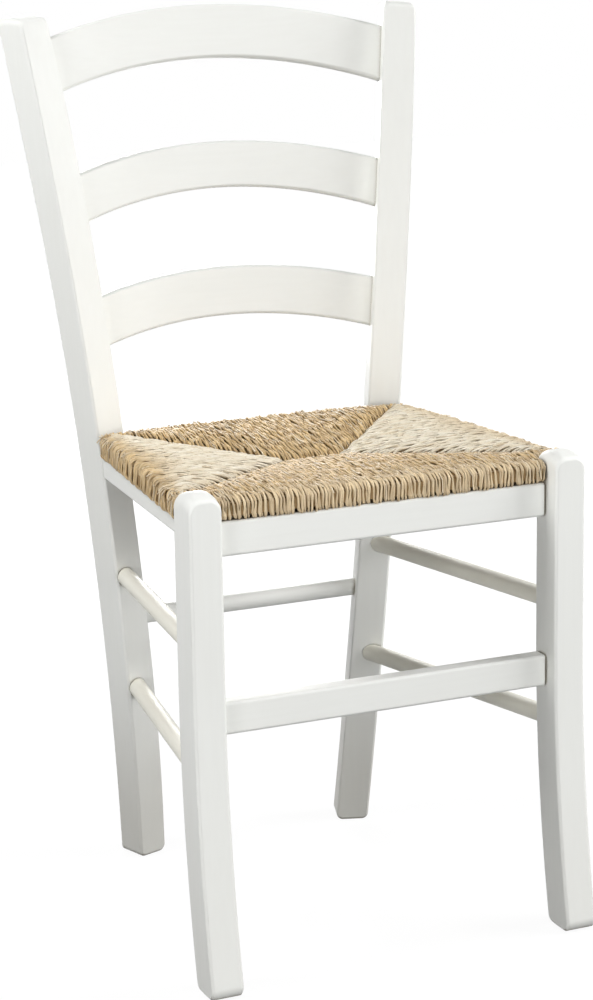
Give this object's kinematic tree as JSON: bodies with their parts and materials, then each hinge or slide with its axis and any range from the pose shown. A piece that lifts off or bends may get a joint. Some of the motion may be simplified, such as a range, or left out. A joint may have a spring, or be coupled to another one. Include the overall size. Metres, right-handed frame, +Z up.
{
  "type": "slat back chair",
  "caption": "Ladder-back dining chair in painted wood, with arched and bowed back slats, round rungs and a wound rush seat on a drop-in frame.",
  "frame": {"origin": "on the floor, under the middle of the chair's bounding box", "axes": "+Z up, -Y the way the sitter faces, +X to the right as seen from the front"},
  "size_m": [0.4618, 0.4938, 0.8858],
  "materials": {
    "paint": "off-white satin paint",
    "rush": "matte, twisted rush",
    "bare_wood": "planed, unpainted",
    "steel": "zinc plated"
  },
  "bodies": {
    "root": {"right_back_post": "paint", "left_back_post": "paint", "top_slat": "paint", "middle_slat": "paint", "bottom_slat": "paint", "right_front_leg": "paint", "left_front_leg": "paint", "front_seat_rail": "paint", "right_seat_rail": "paint", "left_seat_rail": "paint", "rear_seat_rail": "paint", "front_stretcher": "paint", "right_upper_rung": "paint", "left_upper_rung": "paint", "right_lower_rung": "paint", "left_lower_rung": "paint", "rear_rung": "paint", "seat_frame_front": "bare_wood", "seat_frame_rear": "bare_wood", "seat_frame_right": "bare_wood", "seat_frame_left": "bare_wood", "rush_seat": "rush", "seat_screws": "steel"}
  },
  "joints": []
}
